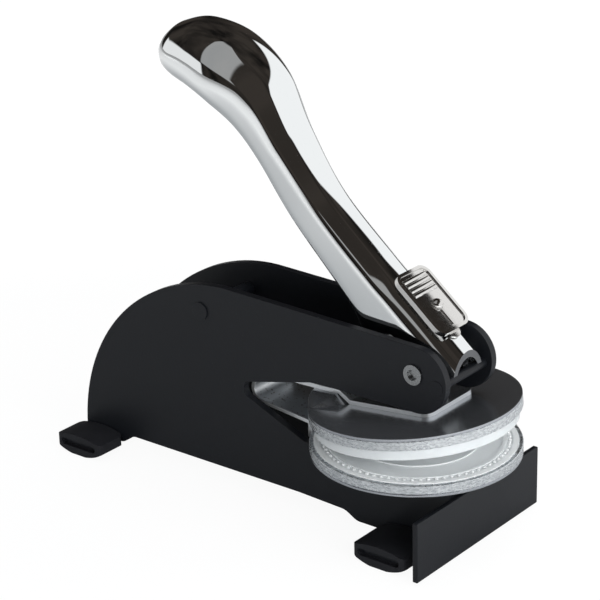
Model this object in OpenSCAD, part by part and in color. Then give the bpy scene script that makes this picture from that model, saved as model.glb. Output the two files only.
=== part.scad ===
// Seal embosser with a two-plate frame, a palm lever and a removable die clip.
// X runs from the rear hump (-) to the dies (+), Y across the frame, Z up from the desk.

/* [Frame] */
// Clear width between the two side plates
frame_gap = 19; // [17:0.5:22]
// Thickness of a side plate
plate_t = 2.2; // [1.6:0.1:3]
// Height of the hump above the desk
frame_h = 60; // [58.5:0.5:64]
// Radius of the round rear hump
hump_r = 56; // [54:0.5:58]
// Radius of the round nose that carries the lever pivot
nose_r = 9.2; // [8.5:0.1:9.8]
// Height of the bed, the straight top edge of the lower jaw
bed_z = 21.3; // [19:0.1:22]
// Height of the lower edge between the two legs
arch_z = 5.3; // [4.6:0.1:8]
// Height of the bottom edge of the legs above the desk
leg_z = 2.4; // [1.6:0.1:3]
// Radius of the round blind end of the throat
throat_r = 2.5; // [2:0.1:3.5]
// Thickness of the bed block that bridges the plates under the dies
bed_t = 4; // [3:0.5:8]

/* [Apron, straps and feet] */
// Width of the front apron
apron_w = 57; // [48:1:64]
// Height of the front apron
apron_h = 17; // [14:0.5:18]
// Thickness of the front apron
apron_t = 1.6; // [1:0.1:3]
// Width of the strap under each pair of legs
strap_w = 12.4; // [10:0.2:14]
// Thickness of a strap
strap_t = 1.6; // [1.2:0.1:2]
// Length of the front strap
front_strap_len = 50.4; // [46:0.2:54]
// Length of the rear strap
rear_strap_len = 42.4; // [40:0.2:54]
// Length of a rubber foot along the frame
foot_len = 17; // [15:0.5:20]
// Height of a rubber foot
foot_h = 6.2; // [5.6:0.1:8]

/* [Pins] */
// Diameter of the lever axle
axle_d = 4.4; // [4:0.1:5]
// Diameter of the bright rolled head of the axle
axle_head_d = 5.6; // [5.4:0.1:7]
// Diameter of the rear cross pin
rear_pin_d = 4; // [3:0.1:6]
// Diameter of the stop bar at the nose
stop_bar_d = 2.8; // [2.4:0.1:3]
// Outer diameter of the bushing in the lever
bushing_d = 6.2; // [5.8:0.1:6.6]
// Running clearance on the axle, on the radius
run_fit = 0.05; // [0.02:0.01:0.1]

/* [Lever] */
// Stroke of the lever in degrees
lever_stroke = 30; // [24:1:31]
// Wall of the hollow lever
lever_wall = 1.5; // [1.2:0.1:1.8]
// Half width of the lever where it passes between the plates
lever_half_w = 7; // [6.8:0.1:7.5]
// Slope of the straight crown at the pivot
crown_angle = 39.5; // [37:0.5:41]
// Distance from the pivot to the straight crown
crown_h = 9.45; // [9.2:0.05:10.5]
// Width of the cam between the lever walls
cam_w = 9.8; // [6:0.2:10]

/* [Lock slide] */
// Length of the lock plate along the lever
lock_len = 20; // [17:0.5:22]
// Width of the lock plate
lock_w = 13.6; // [11:0.2:14]
// Thickness of the lock plate with its rim
lock_t = 1.4; // [1.2:0.1:2.4]
// Travel of the lock plate along the lever
lock_travel = 6; // [4:0.5:6]
// Diameter of the lock stud
lock_stud_d = 3; // [2.5:0.1:3.4]

/* [Die clip] */
// Outer diameter of the die rings and disc plates
disc_d = 57.4; // [50:0.2:60]
// Wall of the rings round the dies
ring_wall = 1.2; // [0.8:0.1:3]
// Diameter of the impression, to the outside of its bead border
seal_d = 51; // [40:0.5:52]
// Thickness of a disc plate
disc_t = 0.8; // [0.6:0.1:1.2]
// Height of a die ring
ring_h = 2.5; // [2:0.1:3]
// How far the upper die stands below its ring
upper_proud = 3; // [2:0.1:3.4]
// How far the lower die stands above its ring
lower_proud = 0.2; // [0.1:0.1:0.6]
// Gap left for the paper between the closed dies
paper_gap = 0.3; // [0.2:0.1:0.6]
// Thickness of the spring arms
arm_t = 1.2; // [1:0.1:1.4]
// Width of the spring arms
arm_w = 17; // [14:0.5:18]
// Angle by which the arms stand open at rest
open_angle = 6; // [5:0.5:6.5]
// Rise of the joggle behind the upper disc
joggle_h = 2.6; // [1.6:0.2:3]

/* [Hidden] */
$fn = 96;
eps = 0.01;
far = 300;

// Places in the side view, as [x, z]
hump_c = [-13, frame_h - hump_r];
nose_c = [51, 49];
pivot = [50, 50.5];
stop_at = [57.2, 48.3];
rear_pin_at = [-22.4, 51.4];
dies_x = 42.5;
fold_c = [-3.5, 31];
fold_r = 3.4;
throat_c = [-5, 31.8];
throat_top = nose_c[1] - nose_r;
throat_break = 17;
jaw_break = 13.5;
plate_front = 61.5;
apron_z = 1;
front_strap_x = 49;
rear_strap_x = hump_c[0] - hump_r + strap_w / 2;
leg_run = 6;
arch_bend_x = 11;
arch_sag = 0.6;
rear_leg_x = rear_strap_x + strap_w / 2 + 1;
front_leg_x = 32;
die_d = disc_d - 2 * ring_wall;
plate_y = frame_gap / 2;
body_y = plate_y + plate_t;

BLACK = "#1b1c1f";
RUBBER = "#141414";
CHROME = "#c9ccd0";
STEEL = "#a9adb2";
PLASTIC = "#eef1ef";
BRASS = "#b08d4a";

// Heights of the die stack, dies closed on the paper
arm_low_z = bed_z + arm_t / 2;
disc_low_z = bed_z + arm_t;
ring_low_z = disc_low_z + disc_t;
die_low_top = ring_low_z + ring_h + lower_proud;
die_up_bottom = die_low_top + paper_gap;
ring_up_z = die_up_bottom + upper_proud;
disc_up_z = ring_up_z + ring_h;
arm_up_z = disc_up_z + disc_t + arm_t / 2;
arm_up_top = arm_up_z + arm_t / 2;

function dir(a) = [cos(a), sin(a)];
function dot(a, b) = a[0] * b[0] + a[1] * b[1];
// Point where a line from p touches the circle round c, above it (side 1) or below it (side -1)
function touch(c, r, p, side) =
    let (d = norm(p - c), a = atan2(p[1] - c[1], p[0] - c[0]) + side * acos(r / d)) c + r * dir(a);

// A side-view outline made solid, centred on the mid plane
module slab(w) rotate([90, 0, 0]) linear_extrude(w, center = true) children();
// A pin or bore across the frame at a place of the side view
module cross(at, d, w) translate([at[0], 0, at[1]]) rotate([90, 0, 0]) cylinder(d = d, h = w, center = true);
module at_x(x, z = 0) translate([x, 0, z]) children();

// ---------------------------------------------------------------- frame

throat_up = touch(throat_c, throat_r - eps, [throat_break, throat_top], 1);
throat_low = touch(throat_c, throat_r - eps, [jaw_break, bed_z], -1);

// The wedge throat between the jaws
module throat_outline() {
    translate(throat_c) circle(r = throat_r);
    polygon([throat_low, [jaw_break, bed_z], [far, bed_z], [far, throat_top],
             [throat_break, throat_top], throat_up]);
}

// Inner flank of a leg at x, an S curve up to the arch at height top on side s
function flank(x, s, top, steps) = [for (i = steps)
    [x + s * leg_run * i / 8, leg_z - eps + (top - leg_z + eps) * (1 - cos(22.5 * i)) / 2]];

// Outline of a side plate: round hump, straight top, lower jaw and two legs
module plate_outline() {
    difference() {
        union() {
            intersection() {
                translate(hump_c) circle(r = hump_r);
                translate([-far, leg_z]) square([far + hump_c[0], far]);
            }
            polygon([[hump_c[0], leg_z], [plate_front, leg_z], [plate_front, bed_z], [nose_c[0], bed_z],
                     [nose_c[0], nose_c[1] + nose_r], [hump_c[0], frame_h]]);
        }
        throat_outline();
        polygon(concat(flank(rear_leg_x, 1, arch_z, [0:8]), [[arch_bend_x, arch_z]],
                       flank(front_leg_x, -1, arch_z - arch_sag, [8:-1:0])));
        for (x = [rear_strap_x, front_strap_x])
            translate([x - strap_w / 2, leg_z - eps]) square([strap_w, strap_t + eps]);
    }
    translate(nose_c) circle(r = nose_r);
}

module side_plate(side) {
    color(BLACK) difference() {
        translate([0, side * (plate_y + plate_t / 2), 0]) slab(plate_t) plate_outline();
        cross(rear_pin_at, rear_pin_d, far);
        cross(stop_at, stop_bar_d, far);
        cross(pivot, axle_d, far);
    }
}

module bed_block() {
    rear = jaw_break + 2;
    color(BLACK) at_x(rear, bed_z - bed_t) translate([0, -plate_y, 0])
        cube([plate_front - rear, frame_gap, bed_t]);
}

module front_apron() {
    color(BLACK) translate([plate_front, -apron_w / 2, apron_z]) cube([apron_t, apron_w, apron_h]);
}

module strap(x, len) {
    color(BLACK) translate([x - strap_w / 2, -len / 2, leg_z]) cube([strap_w, len, strap_t]);
}
module front_strap() strap(front_strap_x, front_strap_len);
module rear_strap() strap(rear_strap_x, rear_strap_len);

// A rubber shoe pushed over a strap end, with the strap end showing in its slot
module foot(x, len, side) {
    keel_r = 18;
    crown_r = 28;
    flat = 0.2;
    round_end = 1.6;
    lip = 1.3;
    inner = body_y + 0.4;
    reach = len / 2 + lip;
    color(RUBBER) difference() {
        intersection() {
            at_x(x) slab(far) intersection() {
                translate([-foot_len / 2, 0]) square([foot_len, foot_h]);
                translate([0, keel_r - flat]) circle(r = keel_r);
                translate([0, foot_h - crown_r]) circle(r = crown_r);
            }
            translate([x, side * (inner + reach) / 2, 0]) linear_extrude(far)
                pad(foot_len, reach - inner, round_end);
        }
        translate([x - strap_w / 2, -far / 2, leg_z]) cube([strap_w, far, strap_t]);
        translate([x, side * (len / 2 + far / 2), leg_z + strap_t / 2]) rotate([90, 0, 0])
            linear_extrude(far, center = true) pad(strap_w + 1, strap_t + 0.5, 1);
    }
}
module foot_front_left() foot(front_strap_x, front_strap_len, -1);
module foot_front_right() foot(front_strap_x, front_strap_len, 1);
module foot_rear_left() foot(rear_strap_x, rear_strap_len, -1);
module foot_rear_right() foot(rear_strap_x, rear_strap_len, 1);

// A pin across both plates with a low head on each end
module riveted_pin(at, d, head_d, head_t) {
    cross(at, d, 2 * body_y);
    for (s = [-1, 1]) translate([0, s * (body_y + head_t / 2), 0]) cross(at, head_d, head_t);
}

module rear_cross_pin() color(BLACK) riveted_pin(rear_pin_at, rear_pin_d, rear_pin_d + 1.2, 0.4);
module stop_bar() color(BLACK) riveted_pin(stop_at, stop_bar_d, stop_bar_d + 1.4, 0.15);

module pivot_axle() {
    head_t = 0.6;
    color(CHROME) difference() {
        riveted_pin(pivot, axle_d, axle_head_d, head_t);
        for (s = [-1, 1]) translate([0, s * (body_y + head_t), 0]) cross(pivot, axle_head_d - 2.6, 2);
    }
}

// Collars on the axle that centre the lever between the plates
module axle_spacer(side) {
    play = 0.1;
    w = plate_y - lever_half_w - play;
    color(STEEL) difference() {
        translate([0, side * (plate_y - w / 2), 0]) cross(pivot, axle_d + 3.4, w);
        cross(pivot, axle_d, far);
    }
}

// ---------------------------------------------------------------- lever

// Stations of the lever, all counted from the pivot: crown x and z, belly x and z,
// half width, how square the belly is (2 is round, 8 nearly square), and how flat
// the bevel along each side of the crown is (0 to 1)
crown_dir = [cos(crown_angle), -sin(crown_angle)];
crown_up = [sin(crown_angle), cos(crown_angle)];
function crown(u) = u * crown_dir + crown_h * crown_up;
function straight(u, depth, bevel) = let (c = crown(u), b = c - depth * crown_up)
    [c[0], c[1], b[0], b[1], lever_half_w, 8, bevel];
STATIONS = [
    [-92.2, 70.6, -92.2, 69.9, 0.8, 2, 0],
    [-91.2, 73.0, -91.1, 68.0, 3.2, 2, 0],
    [-89.2, 75.2, -88.8, 66.5, 5.6, 2, 0],
    [-87.1, 77.3, -86.3, 65.2, 7.8, 2, 0],
    [-83.2, 79.7, -82.1, 63.3, 9.7, 2, 0],
    [-75.2, 81.4, -75.8, 60.8, 11.2, 2.1, 0.1],
    [-63.3, 78.8, -69.4, 57.8, 12.0, 2.4, 0.6],
    [-51.2, 70.2, -62.0, 53.3, 10.1, 3, 1],
    [-42.8, 54.7, -54.2, 46.4, 8.4, 5, 1],
    [-32.1, 39.9, -43.4, 31.9, lever_half_w, 8, 1],
    straight(-29.5, 15.4, 0.8),
    straight(-19.5, 18.7, 0.3),
    straight(-7.2, 26, 0),
    straight(10.3, 26, 0)];
BEVEL = [22.5, 56.25];
STEPS = 4;

// Smooth curve through the stations, t counted in stations
function cubic(a, b, c, d, t) =
    b + t * (c - a) / 2 + t * t * (2 * a - 5 * b + 4 * c - d) / 2 + t * t * t * (3 * b - 3 * c + d - a) / 2;
function station(t) =
    let (last = len(STATIONS) - 1, i = min(floor(t), last - 1),
         a = STATIONS[max(i - 1, 0)], d = STATIONS[min(i + 2, last)])
    [for (k = [0:6]) cubic(a[k], STATIONS[i][k], STATIONS[i + 1][k], d[k], t - i)];

// Point of a half outline at angle a, y and height, with exponent e
function on_arc(a, half, rise, e) =
    [half * sign(cos(a)) * pow(abs(cos(a)), e), rise * sign(sin(a)) * pow(abs(sin(a)), e)];
// Angle a moved to the first quarter if it lies on a bevel, else undef
function on_bevel(a) = let (q = a > 90 ? 180 - a : a) q > BEVEL[0] && q < BEVEL[1] ? q : undef;
function crown_arc(a, half, rise, flat) =
    let (p = on_arc(a, half, rise, 1), q = on_bevel(a))
    is_undef(q) ? p :
    let (f = (q - BEVEL[0]) / (BEVEL[1] - BEVEL[0]), b0 = on_arc(BEVEL[0], half, rise, 1),
         b1 = on_arc(BEVEL[1], half, rise, 1), c = b0 + f * (b1 - b0))
    p + flat * ([sign(p[0]) * c[0], c[1]] - p);

// One cross-section of the lever, moved in by wall and down by drop
function section(s, wall, drop, count) =
    let (top = [s[0], s[1]], axis = [s[2], s[3]] - top, depth = norm(axis), up = -axis / depth,
         half = s[4] - wall, rise = min(half, depth / 2 - wall / 2), low = depth + drop - wall - rise,
         centre = top - (wall + rise) * up)
    [for (k = [0:count - 1])
        let (a = 360 * k / count,
             p = a < 180 ? crown_arc(a, half, rise, s[6]) : on_arc(a, half, low, 2 / s[5]))
        [centre[0] + p[1] * up[0], p[0], centre[1] + p[1] * up[1]]];

// Faces of a solid through rings of count points
function skin(rings, count) =
    let (last = rings * count)
    concat([for (i = [0:rings - 1], k = [0:count - 1])
               let (a = i * count + k, b = i * count + (k + 1) % count, c = a + count, d = b + count)
               each [[a, d, b], [a, c, d]]],
           [for (k = [1:count - 2]) each [[0, k, k + 1], [last, last + k + 1, last + k]]]);
module lever_body() {
    rings = (len(STATIONS) - 1) * STEPS;
    polyhedron([for (i = [0:rings]) each section(station(i / STEPS), 0, 0, 32)], skin(rings, 32));
}
// The hollow under it, which starts small and opens downwards
module lever_hollow() {
    rings = (len(STATIONS) - 1 - hollow_start) * STEPS;
    polyhedron([for (i = [0:rings])
        let (f = min(1, i / hollow_run))
        each section(station(hollow_start + i / STEPS), lever_wall + hollow_nose * pow(1 - f, 2),
                     hollow_drop * f - 1, 24)], skin(rings, 24));
}

lever_front = 9;
lever_sill = 0.5;
wall_boss_r = 5.6;
hollow_start = 6;
hollow_run = 8;
hollow_nose = 5.5;
hollow_drop = 7;

// What the press tool cuts off below the lever walls, seen from the side
module lever_trim() {
    difference() {
        polygon([[-23, 8], [-5.4, -4], [3, -4], [3, -lever_sill], [lever_front + 20, -lever_sill],
                 [lever_front + 20, -40], [-40, -40], [-40, 8]]);
        circle(r = wall_boss_r);
    }
    translate([lever_front, -40]) square([40, 80]);
}

module lever() {
    slot_w = lock_stud_d + 0.4;
    color(CHROME) translate([pivot[0], 0, pivot[1]]) difference() {
        lever_body();
        lever_hollow();
        slab(far) lever_trim();
        on_crown(lock_stud_u, -4) slot_bar(lock_travel + 0.4, slot_w, 8);
        rotate([90, 0, 0]) cylinder(d = bushing_d, h = far, center = true);
        cross(cam_rivet_at, cam_rivet_d, far);
    }
}

cam_rivet_d = 3;
cam_rivet_at = [-11.5, 4.5];
cam_boss_r = bushing_d / 2 + 1;
cam_clear = 0.15;
cam_back = [[0, cam_boss_r], [-7, 6.5], [-14.5, 6], [-18, 1]];
cam_toe = [[2.5, -6], [cam_boss_r, 0]];
cam_ratio = open_angle / lever_stroke;
arm_offset = arm_up_top - fold_c[1];
hinge_to_pivot = pivot - fold_c;

// Cam point that touches the arm when the lever has turned by a. The arm stays tangent to the
// cam while it closes in a fixed ratio to the lever, so the point is on the envelope of the arm.
function cam_point(a) =
    let (open = open_angle - cam_ratio * a,
         off = arm_offset + cam_clear - dot([-sin(open), cos(open)], hinge_to_pivot),
         along = cam_ratio / (1 + cam_ratio) * dot([cos(open), sin(open)], hinge_to_pivot))
    off * dir(90 + open - a) + along * dir(180 + open - a);

module cam() {
    nose = [for (i = [0:20]) cam_point(lever_stroke * (1 - i / 20))];
    color(STEEL) translate([pivot[0], 0, pivot[1]]) difference() {
        slab(cam_w) {
            polygon(concat(cam_back, nose, cam_toe));
            circle(r = cam_boss_r);
        }
        rotate([90, 0, 0]) cylinder(d = bushing_d, h = far, center = true);
        cross(cam_rivet_at, cam_rivet_d, far);
    }
}

module cam_rivet() {
    head_t = 0.6;
    color(STEEL) translate([pivot[0], 0, pivot[1]]) {
        cross(cam_rivet_at, cam_rivet_d, 2 * lever_half_w);
        for (s = [-1, 1]) translate([0, s * (lever_half_w + head_t / 2), 0])
            cross(cam_rivet_at, cam_rivet_d + 1.6, head_t);
    }
}

module pivot_bushing() {
    color(BRASS) difference() {
        cross(pivot, bushing_d, 2 * lever_half_w);
        cross(pivot, axle_d + 2 * run_fit, far);
    }
}

// ---------------------------------------------------------------- lock slide

lock_u = -12.2;
lock_stud_u = -10.4;
lock_lift = 0.8;
keeper_w = 5;
keeper_drop = 2.6;
keeper_t = 1.2;

// Places something on the straight crown, u along it and h above it
module on_crown(u, h) rotate([0, crown_angle, 0]) translate([u, 0, crown_h + h]) children();
// A bar with round ends that starts at the origin and runs forward
module slot_bar(len, w, h) {
    linear_extrude(h) {
        circle(d = w);
        translate([0, -w / 2]) square([len, w]);
        translate([len, 0]) circle(d = w);
    }
}
module on_lever() translate([pivot[0], 0, pivot[1]]) children();
// Rounded rectangle centred on the origin
module pad(len, w, r) {
    square([len - 2 * r, w], center = true);
    square([len, w - 2 * r], center = true);
    for (x = [-1, 1], y = [-1, 1]) translate([x * (len / 2 - r), y * (w / 2 - r)]) circle(r = r);
}

lock_sunk = 0.4;
thumb_dome_d = 3.6;

module lock_plate() {
    rim = 0.9;
    corner = 3;
    ridge_d = 1;
    floor_z = lock_t - lock_sunk;
    stud = lock_stud_u - lock_u;
    color(CHROME) on_lever() on_crown(lock_u, lock_lift) difference() {
        union() {
            difference() {
                linear_extrude(lock_t) pad(lock_len, lock_w, corner);
                translate([0, 0, floor_z])
                    linear_extrude(lock_t) pad(lock_len - 2 * rim, lock_w - 2 * rim, corner - rim);
            }
            for (i = [0:3]) translate([-lock_len / 2 + 2.6 + 1.5 * i, 0, lock_t / 2])
                rotate([90, 0, 0]) cylinder(d = lock_t, h = lock_w - 4, center = true);
            translate([stud, 0, floor_z]) rotate([0, 90, 0])
                cylinder(d = ridge_d, h = lock_len / 2 - stud - rim - 0.6);
        }
        translate([stud, 0, -1]) cylinder(d = lock_stud_d, h = 10);
        translate([stud, 0, floor_z]) cylinder(d = thumb_dome_d + 0.2, h = 10);
    }
}

module lock_stud() {
    color(CHROME) on_lever() on_crown(lock_stud_u, 0) {
        seat = lock_lift + lock_t - lock_sunk;
        below = keeper_drop + keeper_t;
        translate([0, 0, -below]) cylinder(d = lock_stud_d, h = below + seat + 0.3);
        translate([0, 0, -below - 0.7]) cylinder(d = lock_stud_d + 1.4, h = 0.7);
        intersection() {
            translate([0, 0, seat]) sphere(d = thumb_dome_d);
            translate([0, 0, seat]) cylinder(d = 2 * thumb_dome_d, h = thumb_dome_d);
        }
    }
}

module lock_guide() {
    nose = lock_u + lock_len / 2 + 1.4 - lock_stud_u;
    color(STEEL) on_lever() on_crown(lock_stud_u, 0.1) difference() {
        slot_bar(nose - 2, 4.6, lock_lift - 0.1);
        translate([0, 0, -1]) cylinder(d = lock_stud_d, h = 10);
    }
}

module lock_keeper() {
    color(STEEL) on_lever() on_crown(lock_stud_u, -keeper_drop - keeper_t) difference() {
        translate([-3, -keeper_w / 2, 0]) cube([6, keeper_w, keeper_t]);
        translate([0, 0, -1]) cylinder(d = lock_stud_d, h = 10);
    }
}

// ---------------------------------------------------------------- die clip

arm_front_x = 51;
arm_upright = [dies_x - disc_d / 2 - arm_t / 2 - 0.3, 25.8];
pad_front_x = 54.8;
pad_half_w = 10.7;
pad_corner = 3;
shoulder = [[8, arm_w / 2], [22, 10.5], [pad_front_x, pad_half_w]];
joggle_x = 25.2;
joggle_run = 3.6;
tab_half_w = 11.6;
rivets_x = [32, 51.5];
rivet_d = 2.6;

// Strip of sheet along points of the side view
module sheet(points, t) {
    n = len(points);
    function heading(i) = let (d = points[min(i + 1, n - 1)] - points[max(i, 0)]) atan2(d[1], d[0]);
    function edge(i, s) =
        let (a = heading(max(i - 1, 0)), b = heading(min(i, n - 2)), mid = (a + b) / 2)
        points[i] + s * t / 2 / cos((b - a) / 2) * dir(mid + 90);
    polygon(concat([for (i = [0:n - 1]) edge(i, 1)], [for (i = [0:n - 1]) edge(n - 1 - i, -1)]));
}

// Cuts a strip to its plan, given as the second child
module arm_cut() intersection() {
    children(0);
    linear_extrude(far) children(1);
}
// Plan of the lower arm: a straight strip with a round front end
module lower_plan() {
    translate([-far + arm_front_x, -arm_w / 2]) square([far, arm_w]);
    translate([arm_front_x, 0]) circle(d = arm_w);
}
// Plan of the upper arm: the strip widens to a pad on the disc
module upper_plan() {
    last = len(shoulder) - 1;
    intersection() {
        polygon(concat([[-far, arm_w / 2]], shoulder,
                       [for (i = [last:-1:0]) [shoulder[i][0], -shoulder[i][1]]], [[-far, -arm_w / 2]]));
        translate([pad_front_x - far / 2, 0]) pad(far, 2 * pad_half_w, pad_corner);
    }
}

module rivet_holes() for (x = rivets_x) translate([x, 0, -far / 2]) cylinder(d = rivet_d, h = far);

// Angle on the bow at which a line from p touches it, above it (side 1) or below it (side -1)
function bow_angle(p, side) =
    let (t = touch(fold_c, fold_r, p, side) - fold_c) atan2(t[1], t[0]);

knee = [8, arm_up_z + joggle_h];
bow_gap = 4;
bow_start = bow_angle(arm_upright, -1);
bow_end = bow_angle(knee, 1) + open_angle + bow_gap - 360;
bow_steps = 14;

// Lower arm and the bow that joins it to the upper arm, one spring strip
module clip_lower_arm() {
    bow = [for (i = [0:bow_steps]) fold_c + fold_r * dir(bow_start + (bow_end - bow_start) * i / bow_steps)];
    color(CHROME) difference() {
        arm_cut() {
            slab(far) sheet(concat([[arm_front_x + arm_w, arm_low_z], [arm_upright[0], arm_low_z],
                                    arm_upright], bow), arm_t);
            lower_plan();
        }
        rivet_holes();
    }
}

module lower_disc_plate() {
    color(CHROME) difference() {
        at_x(dies_x, disc_low_z) cylinder(d = disc_d, h = disc_t, $fn = 180);
        rivet_holes();
    }
}

module ring(z) {
    color(STEEL) at_x(dies_x, z) difference() {
        cylinder(d = disc_d, h = ring_h, $fn = 180);
        translate([0, 0, -1]) cylinder(d = die_d, h = ring_h + 2, $fn = 180);
    }
}
module lower_ring() ring(ring_low_z);

// An annular groove, from z up
module groove(z, r_out, r_in) translate([0, 0, z]) difference() {
    cylinder(r = r_out, h = far, $fn = 180);
    translate([0, 0, -1]) cylinder(r = r_in, h = far + 2, $fn = 180);
}
border_w = 1.8;
centre_r = 17.2;
centre_rim = 0.6;
engraving = 0.3;

// Die face: groove for the bead border, then a plain band and a rimmed centre
module lower_die() {
    top = ring_h + lower_proud;
    color(PLASTIC) at_x(dies_x, ring_low_z) difference() {
        cylinder(d = die_d, h = top, $fn = 180);
        groove(top - engraving, seal_d / 2 + border_w / 4, seal_d / 2 - border_w * 3 / 4);
        groove(top - engraving, seal_d / 2 - border_w - centre_rim, centre_r);
        groove(top - engraving, centre_r - centre_rim, 0);
    }
}

module lower_rivets() {
    color(STEEL) for (x = rivets_x) at_x(x, bed_z) cylinder(d = rivet_d, h = arm_t + disc_t);
}

// Turns the closed upper half of the clip up to its open rest position
module opened() {
    translate([fold_c[0], 0, fold_c[1]]) rotate([0, -open_angle, 0])
        translate([-fold_c[0], 0, -fold_c[1]]) children();
}

module clip_upper_arm() {
    color(CHROME) opened() difference() {
        arm_cut() {
            slab(far) sheet([touch(fold_c, fold_r, knee, 1), knee, [joggle_x, arm_up_z + joggle_h],
                             [joggle_x + joggle_run, arm_up_z], [arm_front_x + arm_w, arm_up_z]], arm_t);
            upper_plan();
        }
        rivet_holes();
    }
}

// Block of the raised tab at the rear of the upper disc, its top at height h above z
module tab_block(z, h, half) {
    spread = 7;
    front = joggle_x - 0.4;
    foot = [[0, half + spread], [front - 5, half + spread], [front + joggle_run, half],
            [front + joggle_run, -half], [front - 5, -half - spread], [0, -half - spread]];
    hull() {
        translate([0, -half, z + h - eps]) cube([front, 2 * half, eps]);
        translate([0, 0, z]) linear_extrude(eps) polygon(foot);
    }
}

// The raised hood: the block inside a drum whose top edge is broken
module hood(z, h, half, r) intersection() {
    tab_block(z, h, half);
    at_x(dies_x, z) {
        cylinder(r = r, h = h - hood_edge, $fn = 180);
        translate([0, 0, h - hood_edge]) cylinder(r1 = r, r2 = r - hood_edge, h = hood_edge, $fn = 180);
    }
}
hood_edge = 0.9;

module upper_disc_plate() {
    color(CHROME) opened() difference() {
        union() {
            at_x(dies_x, disc_up_z) cylinder(d = disc_d, h = disc_t, $fn = 180);
            hood(disc_up_z, joggle_h + disc_t, tab_half_w, disc_d / 2);
        }
        hood(disc_up_z - eps, joggle_h, tab_half_w - disc_t / 2, disc_d / 2 - disc_t);
        rivet_holes();
    }
}

module upper_ring() opened() ring(ring_up_z);

module upper_die() {
    color(PLASTIC) opened() at_x(dies_x, die_up_bottom) difference() {
        cylinder(d = die_d, h = upper_proud + ring_h, $fn = 180);
        mirror([0, 0, 1]) groove(-engraving, seal_d / 2 + border_w / 4, seal_d / 2 - border_w * 3 / 4);
        mirror([0, 0, 1]) groove(-engraving, centre_r, centre_r - centre_rim);
    }
}

module upper_rivets() {
    color(STEEL) opened() for (x = rivets_x) {
        at_x(x, disc_up_z) cylinder(d = rivet_d, h = disc_t + arm_t);
        at_x(x, arm_up_top) cylinder(d = rivet_d + 1.4, h = 0.5);
    }
}

side_plate(-1);  // side_plate_left
side_plate(1);  // side_plate_right
bed_block();
front_apron();
front_strap();
rear_strap();
foot_front_left();
foot_front_right();
foot_rear_left();
foot_rear_right();
rear_cross_pin();
stop_bar();
pivot_axle();
axle_spacer(-1);  // axle_spacer_left
axle_spacer(1);  // axle_spacer_right
lever();
cam();
cam_rivet();
pivot_bushing();
lock_plate();
lock_stud();
lock_guide();
lock_keeper();
clip_lower_arm();
lower_disc_plate();
lower_ring();
lower_die();
lower_rivets();
clip_upper_arm();
upper_disc_plate();
upper_ring();
upper_die();
upper_rivets();
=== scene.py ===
from math import cos, floor, radians, sin

import bmesh
import bpy
import numpy as np
from mathutils import Matrix, Vector


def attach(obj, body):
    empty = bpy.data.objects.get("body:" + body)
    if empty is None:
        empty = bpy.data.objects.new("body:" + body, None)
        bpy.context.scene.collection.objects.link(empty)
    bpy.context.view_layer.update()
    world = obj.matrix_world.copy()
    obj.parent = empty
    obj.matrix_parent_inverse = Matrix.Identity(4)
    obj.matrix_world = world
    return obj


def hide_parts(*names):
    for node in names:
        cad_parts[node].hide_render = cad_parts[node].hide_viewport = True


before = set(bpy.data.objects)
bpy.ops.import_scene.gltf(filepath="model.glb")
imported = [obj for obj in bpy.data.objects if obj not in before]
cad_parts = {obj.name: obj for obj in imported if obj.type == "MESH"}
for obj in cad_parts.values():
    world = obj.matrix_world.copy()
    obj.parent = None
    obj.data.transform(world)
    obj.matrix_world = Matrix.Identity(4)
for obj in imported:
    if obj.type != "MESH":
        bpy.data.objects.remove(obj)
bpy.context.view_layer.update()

# ---------------------------------------------------------------- camera
# The press was photographed with a long lens from the front left and a little above, the camera held
# level to within a degree and a half. Angle, distance and lens were fitted to the photograph.

EYE = (0.35303, -0.43462, 0.27828)
FOCAL_LENGTH, FILM_WIDTH, NEAR_LIMIT = 131.8, 36, 0.01
AZIMUTH, ELEVATION, ROLL = radians(38.79), radians(21.66), radians(-1.37)
back = Vector((sin(AZIMUTH) * cos(ELEVATION), -cos(AZIMUTH) * cos(ELEVATION), sin(ELEVATION)))
level = Vector((cos(AZIMUTH), sin(AZIMUTH), 0))
rise = back.cross(level)
right = level * cos(ROLL) + rise * sin(ROLL)
up = rise * cos(ROLL) - level * sin(ROLL)
lens = bpy.data.cameras.new("long_lens")
lens.lens = FOCAL_LENGTH
lens.sensor_width = FILM_WIDTH
lens.clip_start = NEAR_LIMIT
camera = bpy.data.objects.new("camera", lens)
camera.matrix_world = Matrix((
    (right.x, up.x, back.x, EYE[0]),
    (right.y, up.y, back.y, EYE[1]),
    (right.z, up.z, back.z, EYE[2]),
    (0, 0, 0, 1)))
bpy.context.collection.objects.link(camera)
bpy.context.scene.camera = camera

# ---------------------------------------------------------------- side plates
# Two plates blanked from 2.2 mm steel sheet, their edges tumbled round, then powder coated black.
# The coat is satin, with a fine orange peel and a few bright specks where dust shows.


def add(tree, kind, inputs=None, **settings):
    """Adds a node. An input is a value, or another node's output to link from."""
    made = tree.nodes.new(kind)
    for key, value in settings.items():
        setattr(made, key, value)
    for key, value in (inputs or {}).items():
        if isinstance(value, bpy.types.NodeSocket):
            tree.links.new(value, made.inputs[key])
        else:
            made.inputs[key].default_value = value
    return made


def ink(code):
    """An sRGB hex colour as linear values."""
    parts = [int(code[i:i + 2], 16) / 255 for i in (1, 3, 5)]
    return (*[c / 12.92 if c <= 0.04045 else ((c + 0.055) / 1.055) ** 2.4 for c in parts], 1)


def new_material(name, **sockets):
    """A material with one principled shader, whose constants are set on its own sockets."""
    made = bpy.data.materials.new(name)
    made.use_nodes = True
    tree = made.node_tree
    tree.nodes.clear()
    place = add(tree, "ShaderNodeTexCoord").outputs["Object"]
    shader = add(tree, "ShaderNodeBsdfPrincipled", sockets)
    add(tree, "ShaderNodeOutputMaterial", {"Surface": shader.outputs["BSDF"]})
    return made, tree, place, shader


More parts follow.
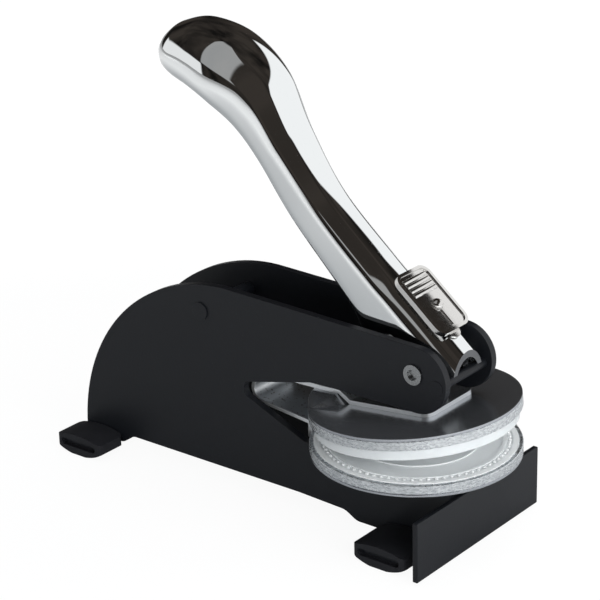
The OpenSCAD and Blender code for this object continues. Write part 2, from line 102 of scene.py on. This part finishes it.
def link(tree, source, shader, socket):
    tree.links.new(source, shader.inputs[socket])


def noise(tree, where, scale, detail):
    """The grey value of a noise."""
    made = add(tree, "ShaderNodeTexNoise", {"Vector": where, "Scale": scale, "Detail": detail})
    return made.outputs["Fac"]


def ranged(tree, value, span=(0, 1), onto=(0, 1), fall="LINEAR"):
    """A value within a span, stretched onto another span."""
    made = add(tree, "ShaderNodeMapRange", {"Value": value, "From Min": span[0], "From Max": span[1],
                                            "To Min": onto[0], "To Max": onto[1]}, interpolation_type=fall)
    return made.outputs["Result"]


def blend(tree, share, first, second):
    """A colour between two colours."""
    return add(tree, "ShaderNodeMix", {0: share, 6: first, 7: second}, data_type="RGBA").outputs[2]


def reckon(tree, operation, *values):
    """A sum worked out at each point."""
    return add(tree, "ShaderNodeMath", dict(enumerate(values)), operation=operation).outputs["Value"]


def relief(tree, shader, height, strength, distance):
    """Makes the surface look uneven."""
    made = add(tree, "ShaderNodeBump", {"Height": height, "Strength": strength, "Distance": distance})
    link(tree, made.outputs["Normal"], shader, "Normal")


def paint(piece, material):
    piece.data.materials.clear()
    piece.data.materials.append(material)


WELD, FLAT_WITHIN, SHARP = 2e-6, 0.5, 35


def merged(node):
    """The CAD node's mesh as one clean surface, its flat faces joined."""
    work = bmesh.new()
    work.from_mesh(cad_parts[node].data)
    bmesh.ops.remove_doubles(work, verts=work.verts, dist=WELD)
    bmesh.ops.dissolve_limit(work, angle_limit=radians(FLAT_WITHIN), verts=work.verts, edges=work.edges)
    wide = [face for face in work.faces if len(face.verts) > 4]
    bmesh.ops.triangulate(work, faces=wide, ngon_method="BEAUTY")
    return work


def new_piece(name, work, sharp=SHARP):
    """An object of a bmesh, smooth but for its sharp edges."""
    for face in work.faces:
        face.smooth = True
    for edge in work.edges:
        edge.smooth = len(edge.link_faces) == 2 and edge.calc_face_angle() < radians(sharp)
    mesh = bpy.data.meshes.new(name)
    work.to_mesh(mesh)
    work.free()
    made = bpy.data.objects.new(name, mesh)
    bpy.context.collection.objects.link(made)
    return made


def eased(node, name, body, material, width, segments=2, sharp=SHARP):
    """The CAD node again with its edges rounded off."""
    made = new_piece(name, merged(node), sharp)
    edge = made.modifiers.new("rounded_edges", "BEVEL")
    edge.width = width
    edge.segments = segments
    edge.limit_method = "ANGLE"
    edge.angle_limit = radians(sharp)
    flat = made.modifiers.new("flat_faces", "WEIGHTED_NORMAL")
    flat.weight = 100
    flat.keep_sharp = True
    paint(made, material)
    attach(made, body)
    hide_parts(node)


powder_coat, tree, place, shader = new_material(
    "black_powder_coat", **{"Base Color": ink("#131519"), "Roughness": 0.42, "Specular IOR Level": 0.3})
peel = noise(tree, place, scale=1600, detail=3)
broad = noise(tree, place, scale=60, detail=4)
shine = ranged(tree, broad, onto=(0.34, 0.46))
link(tree, shine, shader, "Roughness")
relief(tree, shader, peel, strength=0.12, distance=0.0002)
dust = add(tree, "ShaderNodeTexVoronoi", {"Vector": place, "Scale": 420})
speck = ranged(tree, dust.outputs["Distance"], span=(0.03, 0.05), onto=(1.0, 0.0))
coat = blend(tree, speck, ink("#131519"), ink("#2a2c31"))
link(tree, coat, shader, "Base Color")

eased("side_plate_left", "left_plate", "frame", powder_coat, width=0.00035, segments=3)
eased("side_plate_right", "right_plate", "frame", powder_coat, width=0.00035, segments=3)

# ---------------------------------------------------------------- bed, apron and straps
# Steel bars and plates, sawn or sheared square and welded between and under the side plates. They were
# coated together with the plates, so they carry the same satin black.

eased("bed_block", "bed_bridge", "frame", powder_coat, width=0.0002)
eased("front_apron", "apron_plate", "frame", powder_coat, width=0.0003, segments=3)
eased("front_strap", "front_cross_strap", "frame", powder_coat, width=0.0002)
eased("rear_strap", "rear_cross_strap", "frame", powder_coat, width=0.0002)

# ---------------------------------------------------------------- feet
# Moulded rubber shoes pushed over the strap ends, where they grip by their own stretch. The rubber is
# matt, finely pored and slightly dusty.

shoe_rubber, tree, place, shader = new_material(
    "moulded_rubber", **{"Base Color": ink("#1a1b1e"), "Roughness": 0.6, "Specular IOR Level": 0.3})
grime = noise(tree, place, scale=180, detail=5)
tone = blend(tree, grime, ink("#151619"), ink("#212226"))
link(tree, tone, shader, "Base Color")
pores = noise(tree, place, scale=2500, detail=2)
relief(tree, shader, pores, strength=0.15, distance=0.0002)

for corner in ("front_left", "front_right", "rear_left", "rear_right"):
    eased("foot_" + corner, "shoe_" + corner, "frame", shoe_rubber,
          width=0.0006, segments=3, sharp=30)

# ---------------------------------------------------------------- pins
# The rear pin and the stop bar hold the plates apart and are coated with the frame. The axle and its
# spacers are turned from bright steel, and the axle's ends are rolled to a rim over the plates.

eased("rear_cross_pin", "rear_pin", "frame", powder_coat, width=0.00012)
eased("stop_bar", "nose_bar", "frame", powder_coat, width=0.00005)

turned_steel, tree, place, shader = new_material(
    "turned_steel", **{"Base Color": ink("#a3a5a6"), "Metallic": 1.0, "Roughness": 0.3})
wear = noise(tree, place, scale=700, detail=5)
shine = ranged(tree, wear, onto=(0.12, 0.42))
link(tree, shine, shader, "Roughness")
relief(tree, shader, wear, strength=0.2, distance=0.0001)

eased("pivot_axle", "lever_axle", "frame", turned_steel, width=0.00015)
for side in ("left", "right"):
    paint(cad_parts["axle_spacer_" + side], turned_steel)

# ---------------------------------------------------------------- lever
# A die-cast zinc lever, hollow from below, polished and chromed. It swells from the channel over the
# cam to a palm rest. Chrome is a clean mirror, with faint polishing marks.

MM = 0.001
PIVOT = np.array([50.0, 50.5])
CROWN_ANGLE = radians(39.5)
CROWN_H = 9.45
LEVER_HALF = 7.0
SQUARE = 8
crown_dir = np.array([cos(CROWN_ANGLE), -sin(CROWN_ANGLE)])
crown_up = np.array([sin(CROWN_ANGLE), cos(CROWN_ANGLE)])


def straight(u, depth, bevel):
    """A station of the straight channel, u along its crown from the pivot."""
    top = u * crown_dir + CROWN_H * crown_up
    low = top - depth * crown_up
    return [*top, *low, LEVER_HALF, SQUARE, bevel, LEVER_HALF / depth]


# In millimetres from the pivot: crown x and z, belly x and z and half width. Then the squareness of the
# belly, the flatness of the side bevels, and how far down the depth the section is widest.
STATIONS = np.array([
    [-92.2, 70.6, -92.2, 69.9, 0.8, 2, 0, 0.5],
    [-91.2, 73.0, -91.1, 68.0, 3.2, 2, 0, 0.5],
    [-89.2, 75.2, -88.8, 66.7, 5.6, 2.3, 0, 0.54],
    [-87.1, 77.3, -86.3, 65.8, 7.8, 2.6, 0, 0.58],
    [-83.2, 79.7, -82.2, 64.7, 9.7, 3, 0, 0.62],
    [-75.2, 81.4, -75.7, 63.1, 11.2, 3.4, 0.1, 0.66],
    [-63.3, 78.8, -68.7, 60.2, 12.0, 3.6, 0.6, 0.68],
    [-51.2, 70.2, -61.1, 54.6, 10.1, 4, 1, 0.66],
    [-42.8, 54.7, -54.0, 46.5, 8.4, 5, 1, 0.6],
    [-32.1, 39.9, -43.4, 31.9, LEVER_HALF, SQUARE, 1, 0.5],
    straight(-29.5, 15.4, 0.8),
    straight(-19.5, 18.7, 0.3),
    straight(-7.2, 26, 0),
    straight(10.3, 26, 0)])
# The side bevels lie between these angles of the section, counted from its side.
BEVEL = np.radians([22.5, 56.25])
SKIN_SHARP, CUT_SHARP, CUT_WELD = 40, 32, 1e-6


def station(t):
    """Smooth curve through the stations."""
    last = len(STATIONS) - 1
    i = min(floor(t), last - 1)
    a, b, c, d = (STATIONS[k] for k in (max(i - 1, 0), i, i + 1, min(i + 2, last)))
    t -= i
    return (b + t * (c - a) / 2 + t * t * (2 * a - 5 * b + 4 * c - d) / 2
            + t ** 3 * (3 * b - 3 * c + d - a) / 2)


def on_arc(a, half, height, power):
    """Sideways and upward place on a rounded outline, a counted from +Y."""
    return np.array([half * np.sign(cos(a)) * abs(cos(a)) ** power,
                     height * np.sign(sin(a)) * abs(sin(a)) ** power])


def section(s, wall, drop, count):
    """One cross-section, moved in by the wall and down by the drop."""
    top, low = s[0:2], s[2:4]
    half_width, squareness, flatness, widest = s[4:]
    depth = np.linalg.norm(low - top)
    rise_dir = (top - low) / depth
    half = half_width - wall
    crown = widest * depth - wall
    belly = depth + drop - wall - crown
    middle = top - (wall + crown) * rise_dir
    points = []
    for a in np.radians(np.arange(count) * 360 / count):
        if a > np.pi:
            y, h = on_arc(a, half, belly, 2 / squareness)
        else:
            y, h = spot = on_arc(a, half, crown, 1)
            share = (min(a, np.pi - a) - BEVEL[0]) / (BEVEL[1] - BEVEL[0])
            if 0 < share < 1:
                one, two = (on_arc(b, half, crown, 1) for b in BEVEL)
                chord = (one + share * (two - one)) * [np.sign(y), 1]
                y, h = spot + flatness * (chord - spot)
        points.append((middle[0] + h * rise_dir[0], y, middle[1] + h * rise_dir[1]))
    return points


def skin(name, sections):
    """A closed skin through the sections."""
    work = bmesh.new()
    rings = [[work.verts.new(((PIVOT[0] + x) * MM, y * MM, (PIVOT[1] + z) * MM)) for x, y, z in ring]
             for ring in sections]
    count = len(rings[0])
    for one, two in zip(rings, rings[1:]):
        for k in range(count):
            work.faces.new((one[k], one[(k + 1) % count], two[(k + 1) % count], two[k]))
    work.faces.new(rings[0])
    work.faces.new(rings[-1])
    bmesh.ops.recalc_face_normals(work, faces=work.faces)
    return new_piece(name, work, SKIN_SHARP)


def prism(name, outline, low_y, high_y):
    """A flat outline in the side view, given depth across the press."""
    work = bmesh.new()
    ends = [[work.verts.new((x * MM, y * MM, z * MM)) for x, z in outline] for y in (low_y, high_y)]
    for k in range(len(outline)):
        n = (k + 1) % len(outline)
        work.faces.new((ends[0][k], ends[0][n], ends[1][n], ends[1][k]))
    for end in ends:
        work.faces.new(end)
    bmesh.ops.recalc_face_normals(work, faces=work.faces)
    return new_piece(name, work)


def cut(piece, *tools):
    """Cuts the tools out of the piece and throws them away."""
    for tool in tools:
        saw = piece.modifiers.new("cut", "BOOLEAN")
        saw.operation = "DIFFERENCE"
        saw.solver = "EXACT"
        saw.object = tool
    result = bpy.data.meshes.new_from_object(piece.evaluated_get(bpy.context.evaluated_depsgraph_get()))
    piece.modifiers.clear()
    old, piece.data = piece.data, result
    bpy.data.meshes.remove(old)
    for tool in tools:
        bpy.data.objects.remove(tool)
    work = bmesh.new()
    work.from_mesh(piece.data)
    bmesh.ops.remove_doubles(work, verts=work.verts, dist=CUT_WELD)
    for face in work.faces:
        face.smooth = True
    for edge in work.edges:
        edge.smooth = len(edge.link_faces) == 2 and edge.calc_face_angle() < radians(CUT_SHARP)
    work.to_mesh(piece.data)
    work.free()


def round_outline(middle, radius, count=48):
    return [(middle[0] + radius * cos(a), middle[1] + radius * sin(a))
            for a in np.radians(np.arange(count) * 360 / count)]


# The hollow starts at a station and opens out over the next two. FAR and ASIDE only reach past the lever.
LEVER_WALL, CLOSED_WALL, ROOF_START, ROOF_DROP = 1.5, 5.5, -1, 7
HOLLOW_START, OPEN_AFTER, HOLLOW_STEP, PAST_END = 6, 2, 0.1, 0.01
SKIN_POINTS, HOLLOW_POINTS, SKIN_STEPS = 96, 64, 14
BOSS, BOSS_START, BOSS_END, BOSS_POINTS = 5.6, -134.4, -5.1, 24
AXLE_BORE, CAM_RIVET, CAM_RIVET_BORE = 3.1, (-11.5, 4.5), 1.5
SLOT_REAR, SLOT_FRONT, SLOT_LOW, SLOT_TOP, SLOT_HALF = -12.1, -2.3, 5.5, 13.5, 1.7
FRONT, FAR, ASIDE = 9, 40, 30

last = len(STATIONS) - 1
hollow = []
for t in np.arange(HOLLOW_START, last + PAST_END, HOLLOW_STEP):
    opened = min(1, (t - HOLLOW_START) / OPEN_AFTER)
    thickness = LEVER_WALL + CLOSED_WALL * (1 - opened) ** 2
    hollow.append(section(station(min(t, last)), thickness, ROOF_DROP * opened + ROOF_START, HOLLOW_POINTS))
# Corners of what is cut away below the lever's side walls, which keep a round boss about the axle.
boss = [(BOSS * cos(a), BOSS * sin(a))
        for a in np.radians(np.linspace(BOSS_START, BOSS_END, BOSS_POINTS))]
sill = [(-23, 8), (-5.4, -4)] + boss + [(29, -0.5), (29, -FAR), (-FAR, -FAR), (-FAR, 8)]
front = [(FRONT, -FAR), (FRONT, FAR), (FAR, FAR), (FAR, -FAR)]
slot = [u * crown_dir + h * crown_up for u, h in (
    (SLOT_REAR, SLOT_LOW), (SLOT_REAR, SLOT_TOP), (SLOT_FRONT, SLOT_TOP), (SLOT_FRONT, SLOT_LOW))]

steps = np.linspace(0, last, SKIN_STEPS * last + 1)
lever = skin("chromed_lever", [section(station(t), 0, 0, SKIN_POINTS) for t in steps])
cut(lever,
    skin("hollow", hollow),
    prism("under_the_sill", [PIVOT + p for p in sill], -ASIDE, ASIDE),
    prism("before_the_nose", [PIVOT + p for p in front], -ASIDE, ASIDE),
    prism("axle_bore", round_outline(PIVOT, AXLE_BORE), -ASIDE, ASIDE),
    prism("cam_rivet_bore", round_outline(PIVOT + CAM_RIVET, CAM_RIVET_BORE), -ASIDE, ASIDE),
    prism("stud_slot", [PIVOT + p for p in slot], -SLOT_HALF, SLOT_HALF))

chrome, tree, place, shader = new_material(
    "polished_chrome_plate", **{"Base Color": ink("#eef1f2"), "Metallic": 1.0, "Roughness": 0.035})
wave = noise(tree, place, scale=55, detail=1)
relief(tree, shader, wave, strength=0.02, distance=0.001)
haze = noise(tree, place, scale=900, detail=4)
shine = ranged(tree, haze, span=(0.55, 0.8), onto=(0.03, 0.12))
link(tree, shine, shader, "Roughness")
bare_zinc = new_material(
    "trimmed_zinc_edge", **{"Base Color": ink("#77797c"), "Metallic": 1.0, "Roughness": 0.3})[0]
paint(lever, chrome)
lever.data.materials.append(bare_zinc)
FACING, TOUCHING = 0.99, 1e-5
for face in lever.data.polygons:
    if face.normal.x > FACING and face.center.x > (PIVOT[0] + FRONT) * MM - TOUCHING:
        face.material_index = 1
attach(lever, "press_lever")
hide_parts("lever")

# ---------------------------------------------------------------- cam, rivet and bushing
# A sintered steel cam riveted between the lever's walls, which presses the clip shut, and a brass
# bearing pushed on the axle. Only their edges can be seen, deep in the lever.

for node in ("cam", "cam_rivet"):
    paint(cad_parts[node], turned_steel)
bearing_brass, tree, place, shader = new_material(
    "bearing_brass", **{"Base Color": ink("#b08d4a"), "Metallic": 1.0, "Roughness": 0.3})
tarnish = noise(tree, place, scale=400, detail=4)
tone = blend(tree, tarnish, ink("#a07c3c"), ink("#c29d57"))
link(tree, tone, shader, "Base Color")
paint(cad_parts["pivot_bushing"], bearing_brass)

# ---------------------------------------------------------------- lock slide
# A small nickel-plated casting with a raised rim and plain ribs, held by a stud that runs in a slot of
# the lever. A keeper inside holds the stud, and a guide under the button's end keeps it straight.

nickel, tree, place, shader = new_material(
    "nickel_plate", **{"Base Color": ink("#dedddb"), "Metallic": 1.0, "Roughness": 0.14})
grain = noise(tree, place, scale=3000, detail=3)
shine = ranged(tree, grain, onto=(0.08, 0.2))
link(tree, shine, shader, "Roughness")
across = add(tree, "ShaderNodeSeparateXYZ", {"Vector": place}).outputs["Y"]
DOME_MIDDLE, DOME_FALL = 0.0045, -30.0
aside = reckon(tree, "SUBTRACT", across, DOME_MIDDLE)
dome = reckon(tree, "MULTIPLY", aside, aside)
crown = reckon(tree, "MULTIPLY", dome, DOME_FALL)
curved = add(tree, "ShaderNodeBump", {"Height": crown, "Strength": 1, "Distance": 1})
bump = add(tree, "ShaderNodeBump", {"Height": grain, "Strength": 0.1, "Distance": 0.00008,
                                    "Normal": curved.outputs["Normal"]})
link(tree, bump.outputs["Normal"], shader, "Normal")
eased("lock_plate", "lock_button", "lock_slide", nickel, width=0.00018, segments=3)
for node in ("lock_stud", "lock_guide", "lock_keeper"):
    paint(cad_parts[node], nickel)

# ---------------------------------------------------------------- spring clip
# One strip of cold-rolled spring steel, sheared to width, folded round its bow and left bare.
# The rolled faces are satin with brown heat spots. Every face turned sideways, the sheared edges among
# them, is painted near white: fresh-cut steel is a little brighter, and the rest is a painted highlight.

spring_strip, tree, place, shader = new_material(
    "cold_rolled_spring_strip", **{"Base Color": ink("#9a9ea1"), "Metallic": 0.9, "Roughness": 0.3})
rolled = add(tree, "ShaderNodeMapping", {"Vector": place, "Scale": (60, 900, 60)})
lines = noise(tree, rolled.outputs["Vector"], scale=6, detail=5)
spots = noise(tree, place, scale=1100, detail=2)
spot = ranged(tree, spots, span=(0.6, 0.68))
tone = blend(tree, spot, ink("#a0a4a8"), ink("#6d6a65"))
# Painted highlight: faces turned sideways, the sheared edges among them, go near white.
facing = add(tree, "ShaderNodeSeparateXYZ", {"Vector": add(tree, "ShaderNodeTexCoord").outputs["Normal"]})
upright = reckon(tree, "ABSOLUTE", facing.outputs["Z"])
sideways_highlight = ranged(tree, upright, span=(0.2, 0.5))
strip_colour_with_edge_highlight = blend(tree, sideways_highlight, ink("#f0f3f5"), tone)
link(tree, strip_colour_with_edge_highlight, shader, "Base Color")
shine = ranged(tree, lines, onto=(0.22, 0.46))
link(tree, shine, shader, "Roughness")
relief(tree, shader, lines, strength=0.15, distance=0.0001)
eased("clip_lower_arm", "lower_spring_arm", "frame", spring_strip, width=0.00012)
eased("clip_upper_arm", "upper_spring_arm", "upper_clip", spring_strip, width=0.00012)

# ---------------------------------------------------------------- disc plates
# Two pressed discs of bright plated steel. The upper one is drawn up into a hood that takes the end of
# the clip's arm. Both are riveted to their arms and carry the rings.

plated_disc, tree, place, shader = new_material(
    "bright_nickel_disc", **{"Base Color": ink("#b4b8be"), "Metallic": 0.94, "Roughness": 0.2})
smear = noise(tree, place, scale=90, detail=3)
shine = ranged(tree, smear, onto=(0.15, 0.25))
link(tree, shine, shader, "Roughness")
relief(tree, shader, smear, strength=0.01, distance=0.0005)
eased("upper_disc_plate", "upper_disc", "upper_clip", plated_disc,
      width=0.00018, segments=3, sharp=50)
eased("lower_disc_plate", "lower_disc", "frame", plated_disc, width=0.00018, segments=3)

# ---------------------------------------------------------------- rings
# Turned and tumbled aluminium rings, pushed round the dies and against the disc plates. Their edge is
# finely pitted, so it sparkles in spots.

ring_metal, tree, place, shader = new_material(
    "milled_aluminium", **{"Base Color": ink("#d3d7da"), "Metallic": 0.85, "Roughness": 0.3})
turned = add(tree, "ShaderNodeMapping", {"Vector": place, "Scale": (1, 1, 3)})
pits = noise(tree, turned.outputs["Vector"], scale=900, detail=4)
clouds = noise(tree, place, scale=130, detail=3)
mixed = reckon(tree, "MULTIPLY", pits, clouds)
shine = ranged(tree, mixed, span=(0.15, 0.4), onto=(0.16, 0.55))
link(tree, shine, shader, "Roughness")
relief(tree, shader, pits, strength=0.35, distance=0.0002)
dull = ranged(tree, pits, span=(0.42, 0.62))
tone = blend(tree, dull, ink("#bcc1c5"), ink("#dde1e4"))
link(tree, tone, shader, "Base Color")
eased("upper_ring", "upper_die_ring", "upper_clip", ring_metal, width=0.0002)
eased("lower_ring", "lower_die_ring", "frame", ring_metal, width=0.0002)

# ---------------------------------------------------------------- dies
# Engraved discs of acetal, slightly translucent, pressed into the rings. The lower one is white, with a
# border of beads between two fine rings. The upper one is the same acetal painted a little greyer, as
# painted shade.


def acetal(name, plain, dark, light):
    """Acetal lets a little light in and is faintly cloudy."""
    made, tree, place, shader = new_material(name, **{
        "Base Color": ink(plain), "Roughness": 0.38, "Subsurface Weight": 0.5,
        "Subsurface Radius": (1, 1, 1), "Subsurface Scale": 0.003})
    cloud = noise(tree, place, scale=120, detail=3)
    link(tree, blend(tree, cloud, ink(dark), ink(light)), shader, "Base Color")
    return made


white_acetal = acetal("white_acetal", "#eff3f4", "#e9edef", "#f6f9fa")
# Painted shade: the upper die gets the same acetal in a greyer colour.
acetal_with_painted_shade = acetal("acetal_with_painted_shade", "#cbd0d2", "#c3c8cb", "#d3d8da")
eased("upper_die", "upper_seal_die", "upper_clip", acetal_with_painted_shade, width=0.00015)
eased("lower_die", "lower_seal_die", "frame", white_acetal, width=0.00012)

DIE_X, DIE_FLOOR, BEAD_RING, BEAD_COUNT, BEAD_SIZE = 0.0425, 0.0257, 0.02505, 76, 0.00055
tree = bpy.data.node_groups.new("bead_border", "GeometryNodeTree")
tree.interface.new_socket("Geometry", in_out="OUTPUT", socket_type="NodeSocketGeometry")
radius_in = tree.interface.new_socket("Ring radius", in_out="INPUT", socket_type="NodeSocketFloat")
count_in = tree.interface.new_socket("Bead count", in_out="INPUT", socket_type="NodeSocketInt")
size_in = tree.interface.new_socket("Bead radius", in_out="INPUT", socket_type="NodeSocketFloat")
given = add(tree, "NodeGroupInput")
path = add(tree, "GeometryNodeMeshCircle", {"Vertices": given.outputs["Bead count"],
                                            "Radius": given.outputs["Ring radius"]})
bead = add(tree, "GeometryNodeMeshIcoSphere", {"Radius": given.outputs["Bead radius"], "Subdivisions": 2})
strung = add(tree, "GeometryNodeInstanceOnPoints", {"Points": path.outputs["Mesh"],
                                                     "Instance": bead.outputs["Mesh"]})
real = add(tree, "GeometryNodeRealizeInstances", {"Geometry": strung.outputs["Instances"]})
set_in = add(tree, "GeometryNodeTransform", {"Geometry": real.outputs["Geometry"],
                                             "Translation": (DIE_X, 0, DIE_FLOOR)})
finish = add(tree, "GeometryNodeSetMaterial", {"Geometry": set_in.outputs["Geometry"],
                                                "Material": white_acetal})
smooth = add(tree, "GeometryNodeSetShadeSmooth", {"Geometry": finish.outputs["Geometry"]})
add(tree, "NodeGroupOutput", {"Geometry": smooth.outputs["Geometry"]})


def grown(name, tree, values):
    """Runs a node tree with its named inputs and keeps the result as a plain mesh."""
    seed = bpy.data.objects.new(name, bpy.data.meshes.new(name + "_seed"))
    bpy.context.collection.objects.link(seed)
    maker = seed.modifiers.new("maker", "NODES")
    maker.node_group = tree
    for socket, value in values:
        maker[socket.identifier] = value
    result = bpy.data.meshes.new_from_object(seed.evaluated_get(bpy.context.evaluated_depsgraph_get()))
    seed.modifiers.clear()
    seed.data = result
    return seed


beads = grown("bead_border", tree, [(radius_in, BEAD_RING), (count_in, BEAD_COUNT), (size_in, BEAD_SIZE)])
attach(beads, "frame")

# ---------------------------------------------------------------- rivets
# Bright steel rivets through each disc plate and its arm, two to a disc. They are closed flat by a
# press, so their ends lie flush.

eased("upper_rivets", "upper_rivet_pair", "upper_clip", turned_steel, width=0.00015)
paint(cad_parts["lower_rivets"], turned_steel)

# ---------------------------------------------------------------- studio
# A sweep of white paper under the press, greyed round the press by a painted shadow, and soft boxes round
# it. What the chrome mirrors is a room of bright panes with a dark draped wall between them.

SHADE_MIDDLE, SHADE_REACH = (-0.08, 0, 0), (0.1, 0.36)
LIFT, GLOW, SHEET_HALF, SHEET_DROP = 0.85, 1.1, 6, 0.00002
paper = bpy.data.materials.new("white_paper_sweep")
paper.use_nodes = True
tree = paper.node_tree
tree.nodes.clear()
ray = add(tree, "ShaderNodeLightPath")
spread = add(tree, "ShaderNodeVectorMath", {0: add(tree, "ShaderNodeTexCoord").outputs["Object"],
                                            1: SHADE_MIDDLE}, operation="DISTANCE")
reach = ranged(tree, spread.outputs["Value"], span=SHADE_REACH)
# Painted shadow: the paper goes grey towards a spot behind the press.
painted_floor_shadow = blend(tree, reach, ink("#a9abad"), ink("#f4f4f4"))
paper_with_painted_shadow = add(tree, "ShaderNodeBsdfDiffuse", {"Color": painted_floor_shadow})
lift = reckon(tree, "MULTIPLY", ray.outputs["Is Camera Ray"], LIFT)
glow = add(tree, "ShaderNodeEmission", {"Strength": GLOW})
sheet = add(tree, "ShaderNodeMixShader", {0: lift, 1: paper_with_painted_shadow.outputs["BSDF"],
                                          2: glow.outputs["Emission"]})
add(tree, "ShaderNodeOutputMaterial", {"Surface": sheet.outputs["Shader"]})
work = bmesh.new()
bmesh.ops.create_grid(work, x_segments=1, y_segments=1, size=SHEET_HALF)
for vert in work.verts:
    vert.co.z = -SHEET_DROP
floor_sheet = new_piece("paper_sweep", work)
paint(floor_sheet, paper)


AIM = Vector((0, 0, 0.05))


def soft_box(name, place, width, height, power):
    """A lamp behind cloth, aimed at the press and not mirrored in it."""
    lamp = bpy.data.lights.new(name, "AREA")
    lamp.shape = "RECTANGLE"
    lamp.size, lamp.size_y = width, height
    lamp.energy = power
    made = bpy.data.objects.new(name, lamp)
    made.location = place
    made.rotation_euler = (Vector(place) - AIM).to_track_quat("Z", "Y").to_euler()
    made.visible_glossy = False
    bpy.context.collection.objects.link(made)


soft_box("top_box", (0.1, 0.2, 1.1), width=1.1, height=1.1, power=7)
soft_box("left_box", (-1.0, -0.4, 0.5), width=0.5, height=0.9, power=2)
soft_box("right_box", (1.0, -0.25, 0.45), width=0.9, height=0.6, power=9)
soft_box("front_box", (0.7, -0.85, 0.14), width=0.9, height=0.25, power=4)

sky = bpy.data.worlds.new("studio")
bpy.context.scene.world = sky
sky.use_nodes = True
tree = sky.node_tree
tree.nodes.clear()
way = add(tree, "ShaderNodeTexCoord").outputs["Generated"]


def pane(azimuth, half_width, low, high, soft, lean):
    """A bright pane of the room, by its azimuth, half width and the sines of its lower and upper edge.
    The edges are soft, and the upper one lies square to the way that it leans."""
    turned = add(tree, "ShaderNodeMapping", {"Vector": way, "Rotation": (0, 0, -radians(azimuth))})
    axes = add(tree, "ShaderNodeSeparateXYZ", {"Vector": turned.outputs["Vector"]})
    swing = reckon(tree, "ARCTAN2", axes.outputs["Y"], axes.outputs["X"])
    aside = reckon(tree, "ABSOLUTE", swing)
    climb = add(tree, "ShaderNodeVectorMath", {0: way, 1: lean}, operation="DOT_PRODUCT")
    edges = [(aside, (radians(half_width), radians(half_width) + soft), (1, 0)),
             (axes.outputs["Z"], (low - soft, low), (0, 1)),
             (climb.outputs["Value"], (high, high + soft), (1, 0))]
    mask = None
    for value, span, onto in edges:
        edge = ranged(tree, value, span, onto, fall="SMOOTHSTEP")
        mask = edge if mask is None else reckon(tree, "MULTIPLY", mask, edge)
    return mask


UPRIGHT, LEANING = (0, 0, 1), (-0.49, -0.408, 0.77)
FILL, PURE_WHITE = 0.35, (1, 1, 1, 1)
room = None
for azimuth, half_width, low, high, soft, strength, lean in (
        (26, 72, -1.0, 0.22, 0.05, 1.0, LEANING),
        (-153, 27, -1.0, 0.3, 0.05, 0.85, UPRIGHT),
        (-101, 22, 0.4, 0.95, 0.04, 0.32, UPRIGHT)):
    lit = reckon(tree, "MULTIPLY", pane(azimuth, half_width, low, high, soft, lean), strength)
    room = lit if room is None else reckon(tree, "MAXIMUM", room, lit)
tall = add(tree, "ShaderNodeMapping", {"Vector": way, "Scale": (1, 1, 0.25)})
folds = noise(tree, tall.outputs["Vector"], scale=3, detail=2)
drape = ranged(tree, folds, span=(0.35, 0.65))
wall = blend(tree, drape, ink("#151413"), ink("#38332f"))
reflected = blend(tree, room, wall, PURE_WHITE)
ray = add(tree, "ShaderNodeLightPath")
seen = reckon(tree, "MAXIMUM", ray.outputs["Is Camera Ray"], ray.outputs["Is Transmission Ray"])
fill = add(tree, "ShaderNodeBackground", {"Color": PURE_WHITE, "Strength": FILL})
mirror = add(tree, "ShaderNodeBackground", {"Color": reflected})
white = add(tree, "ShaderNodeBackground", {"Color": PURE_WHITE})
shown = add(tree, "ShaderNodeMixShader", {0: ray.outputs["Is Glossy Ray"], 1: fill.outputs["Background"],
                                          2: mirror.outputs["Background"]})
both = add(tree, "ShaderNodeMixShader", {0: seen, 1: shown.outputs["Shader"],
                                         2: white.outputs["Background"]})
add(tree, "ShaderNodeOutputWorld", {"Surface": both.outputs["Shader"]})
bpy.context.scene.view_settings.view_transform = "Standard"
